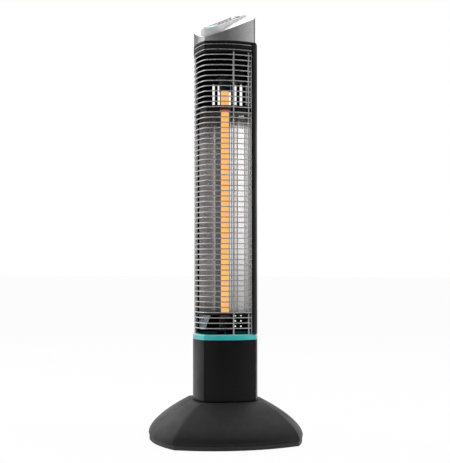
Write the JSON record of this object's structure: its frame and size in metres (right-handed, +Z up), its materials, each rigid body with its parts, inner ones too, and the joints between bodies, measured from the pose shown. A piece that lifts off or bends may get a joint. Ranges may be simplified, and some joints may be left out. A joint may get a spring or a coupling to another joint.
{
  "type": "infrared tower heater",
  "caption": "Free-standing infrared heater: rounded-square tower with a wire guard, glowing lamp and reflector on a black column and domed base, sloping silver cap with buttons.",
  "frame": {"origin": "on the floor, below the axis of the tower, at the centre of the base", "axes": "+Z up the tower, -Y towards the front corner of the guard, +X to the right seen from the front"},
  "size_m": [0.3214, 0.3194, 0.8132],
  "materials": {
    "base_shell_black": "fine moulded texture, satin black",
    "tray_black": "moulded, matt",
    "column_black": "satin gloss black moulding",
    "housing_black": "satin black powder coat",
    "chamber_black": "matt heat-resistant black",
    "teal_trim": "pearl teal lacquer",
    "guard_wire": "bright plated wire",
    "reflector_sheet": "bright anodised, brushed along its length",
    "silver_cap": "metallic silver lacquer",
    "bezel_white": "pearl white",
    "panel_grey": "pearl grey",
    "button_light": "pearl white",
    "power_button_silver": "satin silver",
    "display_teal": "tinted clear",
    "circuit_green": "solder mask",
    "component_black": "moulded",
    "zinc_steel": "zinc plated",
    "bearing_acetal": "natural acetal",
    "ballast_iron": "painted casting",
    "foot_rubber": "matt",
    "quartz": "clear fused tube",
    "carbon_element": "glowing when on",
    "socket_ceramic": "unglazed steatite",
    "shield_blue_grey": "blue-grey coat"
  },
  "bodies": {
    "base": {"base_tray": "tray_black", "rubber_feet": "foot_rubber", "ballast_plate": "ballast_iron", "base_screws": "zinc_steel", "base_front_shell": "base_shell_black", "base_rear_shell": "base_shell_black", "cord_gland": "tray_black", "pedestal": "component_black", "pedestal_screws": "zinc_steel", "tip_switch_body": "component_black", "bearing_ring": "bearing_acetal", "pivot_spindle": "zinc_steel", "retaining_collar": "bearing_acetal", "sector_gear": "bearing_acetal", "spindle_nut": "zinc_steel"},
    "tip_plunger": {"tip_switch_plunger": "bearing_acetal"},
    "tower": {"swivel_plate": "zinc_steel", "oscillation_motor": "zinc_steel", "motor_screws": "zinc_steel", "column_front_cover": "column_black", "column_rear_cover": "column_black", "column_deck": "chamber_black", "column_screws": "zinc_steel", "power_board": "circuit_green", "power_parts": "component_black", "trim_ring": "teal_trim", "wire_guard": "guard_wire", "rear_housing": "housing_black", "housing_screws": "zinc_steel", "reflector_shelf": "chamber_black", "upper_baffle": "chamber_black", "reflector": "reflector_sheet", "lamp_tube": "quartz", "heating_element": "carbon_element", "lower_socket": "socket_ceramic", "upper_socket": "socket_ceramic", "lower_socket_bracket": "zinc_steel", "upper_socket_bracket": "zinc_steel", "lamp_lead_shield": "shield_blue_grey", "thermal_cutout": "socket_ceramic", "top_collar": "column_black", "top_cap": "silver_cap", "panel_bezel": "bezel_white", "panel_plate": "panel_grey", "display_window": "display_teal", "display_module": "component_black", "control_board": "circuit_green", "board_standoffs": "zinc_steel", "key_switches": "component_black"},
    "pinion": {"drive_pinion": "bearing_acetal"},
    "mode_button": {"mode_button": "button_light"},
    "timer_button": {"timer_button": "button_light"},
    "lower_button": {"lower_button": "button_light"},
    "higher_button": {"higher_button": "button_light"},
    "power_button": {"power_button": "power_button_silver"}
  },
  "joints": [
    {"name": "tower_swivel", "type": "hinge", "parent": "base", "child": "tower", "pos_m": [0, 0, 0.0766], "axis": [0, 0, 1], "range_deg": [-35, 35]},
    {"name": "pinion_spin", "type": "hinge", "parent": "tower", "child": "pinion", "pos_m": [0, 0.04688, 0.105], "axis": [0, 0, 1], "range_deg": [-140, 140]},
    {"name": "tip_switch_slide", "type": "slide", "parent": "base", "child": "tip_plunger", "axis": [0, 0, -1], "range_m": [0, 0.004], "stiffness_N_per_m": 60, "springref_m": 0.004},
    {"name": "mode_button_press", "type": "slide", "parent": "tower", "child": "mode_button", "axis": [0, 0.3875, -0.9219], "range_m": [0, 0.001], "stiffness_N_per_m": 400},
    {"name": "timer_button_press", "type": "slide", "parent": "tower", "child": "timer_button", "axis": [0, 0.3875, -0.9219], "range_m": [0, 0.001], "stiffness_N_per_m": 400},
    {"name": "lower_button_press", "type": "slide", "parent": "tower", "child": "lower_button", "axis": [0, 0.3875, -0.9219], "range_m": [0, 0.001], "stiffness_N_per_m": 400},
    {"name": "higher_button_press", "type": "slide", "parent": "tower", "child": "higher_button", "axis": [0, 0.3875, -0.9219], "range_m": [0, 0.001], "stiffness_N_per_m": 400},
    {"name": "power_button_press", "type": "slide", "parent": "tower", "child": "power_button", "axis": [0, 0.3875, -0.9219], "range_m": [0, 0.001], "stiffness_N_per_m": 400}
  ],
  "couplings": [
    {"joint": "pinion_spin", "follows": "tower_swivel", "ratio": 4}
  ]
}
